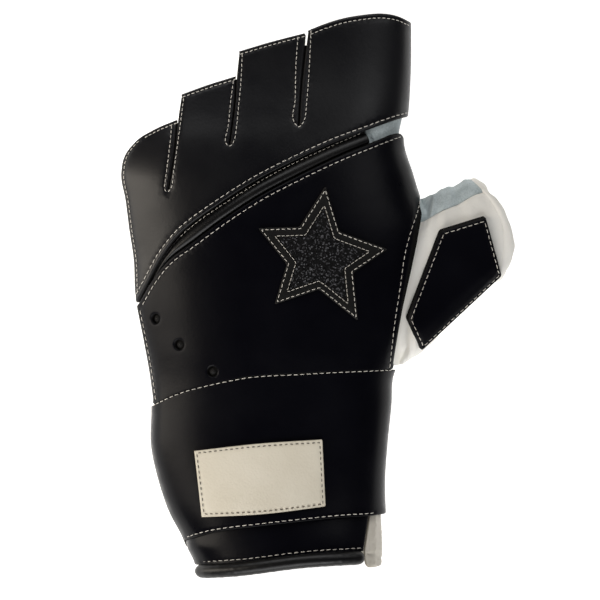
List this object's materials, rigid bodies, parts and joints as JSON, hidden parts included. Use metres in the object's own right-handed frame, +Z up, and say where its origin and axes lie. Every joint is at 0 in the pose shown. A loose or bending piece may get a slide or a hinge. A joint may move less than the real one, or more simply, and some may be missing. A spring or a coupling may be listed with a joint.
{
  "type": "rifle shooting glove",
  "caption": "Stiff left-hand rifle shooting glove, black leather plates on a white and grey leather base, with open finger ends and a star on the back",
  "frame": {"origin": "on the surface that the glove lies on, under the middle of its bounding box", "axes": "+Z up out of the back of the hand, +Y to the fingertips, +X to the thumb's side"},
  "size_m": [0.1645, 0.2367, 0.0472],
  "materials": {
    "black_leather": "satin",
    "white_leather": "matte",
    "grey_suede": "matte",
    "gritty_inlay": "rough",
    "label_leather": "matte"
  },
  "bodies": {
    "root": {"cuff_plate": "black_leather", "finger_plate": "black_leather", "fourchette_1": "grey_suede", "fourchette_2": "grey_suede", "fourchette_3": "grey_suede", "hand_plate": "black_leather", "index_gusset": "grey_suede", "knuckle_roll": "black_leather", "label_patch": "label_leather", "palm_panel": "white_leather", "star_border": "black_leather", "star_inlay": "gritty_inlay", "thumb_gusset": "grey_suede", "thumb_hem": "white_leather", "thumb_patch": "black_leather", "thumb_sleeve": "white_leather", "wrist_binding": "black_leather", "wrist_tab": "white_leather", "wristband": "black_leather"}
  },
  "joints": []
}
